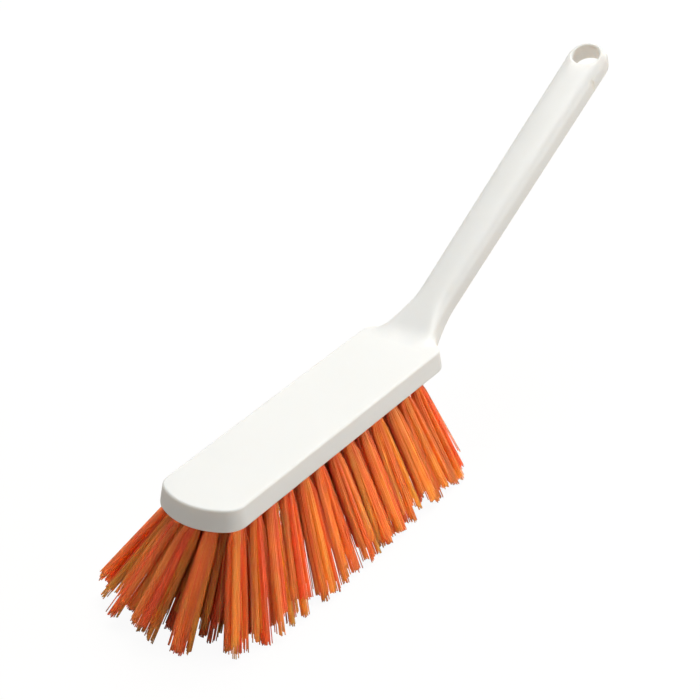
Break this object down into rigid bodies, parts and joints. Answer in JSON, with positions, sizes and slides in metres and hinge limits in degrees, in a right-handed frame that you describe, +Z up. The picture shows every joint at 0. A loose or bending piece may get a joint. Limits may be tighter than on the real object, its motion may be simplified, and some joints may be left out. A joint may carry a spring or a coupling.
{
  "type": "hand broom",
  "caption": "Long-handled hand broom: flat block with a rounded nose, raised handle with a round hanging eye, and stiff bristle tufts fanned over the nose and sides.",
  "frame": {"origin": "middle of the whole part's bounding box in X and Y, on the plane that the bristle tips stand on", "axes": "+X along the block from its rounded nose towards the handle's eye, +Z up from the bristle tips through the block's flat top face, +Y to the left; the block's mid-plane lies about 5 mm to -Y of the origin, because the tufts at the nose's left corner splay further out"},
  "size_m": [0.4706, 0.1096, 0.1886],
  "materials": {
    "stock": "smooth moulded white plastic, semi-gloss",
    "bristle": "straight orange synthetic filament, satin"
  },
  "bodies": {
    "root": {"stock_and_handle": "stock", "tuft_outer_left_01": "bristle", "tuft_outer_left_02": "bristle", "tuft_outer_left_03": "bristle", "tuft_outer_left_04": "bristle", "tuft_outer_left_05": "bristle", "tuft_outer_left_06": "bristle", "tuft_outer_left_07": "bristle", "tuft_outer_left_08": "bristle", "tuft_outer_left_09": "bristle", "tuft_outer_left_10": "bristle", "tuft_outer_left_11": "bristle", "tuft_outer_left_12": "bristle", "tuft_outer_left_13": "bristle", "tuft_inner_left_01": "bristle", "tuft_inner_left_02": "bristle", "tuft_inner_left_03": "bristle", "tuft_inner_left_04": "bristle", "tuft_inner_left_05": "bristle", "tuft_inner_left_06": "bristle", "tuft_inner_left_07": "bristle", "tuft_inner_left_08": "bristle", "tuft_inner_left_09": "bristle", "tuft_inner_left_10": "bristle", "tuft_inner_left_11": "bristle", "tuft_middle_01": "bristle", "tuft_middle_02": "bristle", "tuft_middle_03": "bristle", "tuft_middle_04": "bristle", "tuft_middle_05": "bristle", "tuft_middle_06": "bristle", "tuft_middle_07": "bristle", "tuft_middle_08": "bristle", "tuft_middle_09": "bristle", "tuft_middle_10": "bristle", "tuft_middle_11": "bristle", "tuft_inner_right_01": "bristle", "tuft_inner_right_02": "bristle", "tuft_inner_right_03": "bristle", "tuft_inner_right_04": "bristle", "tuft_inner_right_05": "bristle", "tuft_inner_right_06": "bristle", "tuft_inner_right_07": "bristle", "tuft_inner_right_08": "bristle", "tuft_inner_right_09": "bristle", "tuft_inner_right_10": "bristle", "tuft_inner_right_11": "bristle", "tuft_outer_right_01": "bristle", "tuft_outer_right_02": "bristle", "tuft_outer_right_03": "bristle", "tuft_outer_right_04": "bristle", "tuft_outer_right_05": "bristle", "tuft_outer_right_06": "bristle", "tuft_outer_right_07": "bristle", "tuft_outer_right_08": "bristle", "tuft_outer_right_09": "bristle", "tuft_outer_right_10": "bristle", "tuft_outer_right_11": "bristle", "tuft_outer_right_12": "bristle", "tuft_outer_right_13": "bristle"}
  },
  "joints": []
}
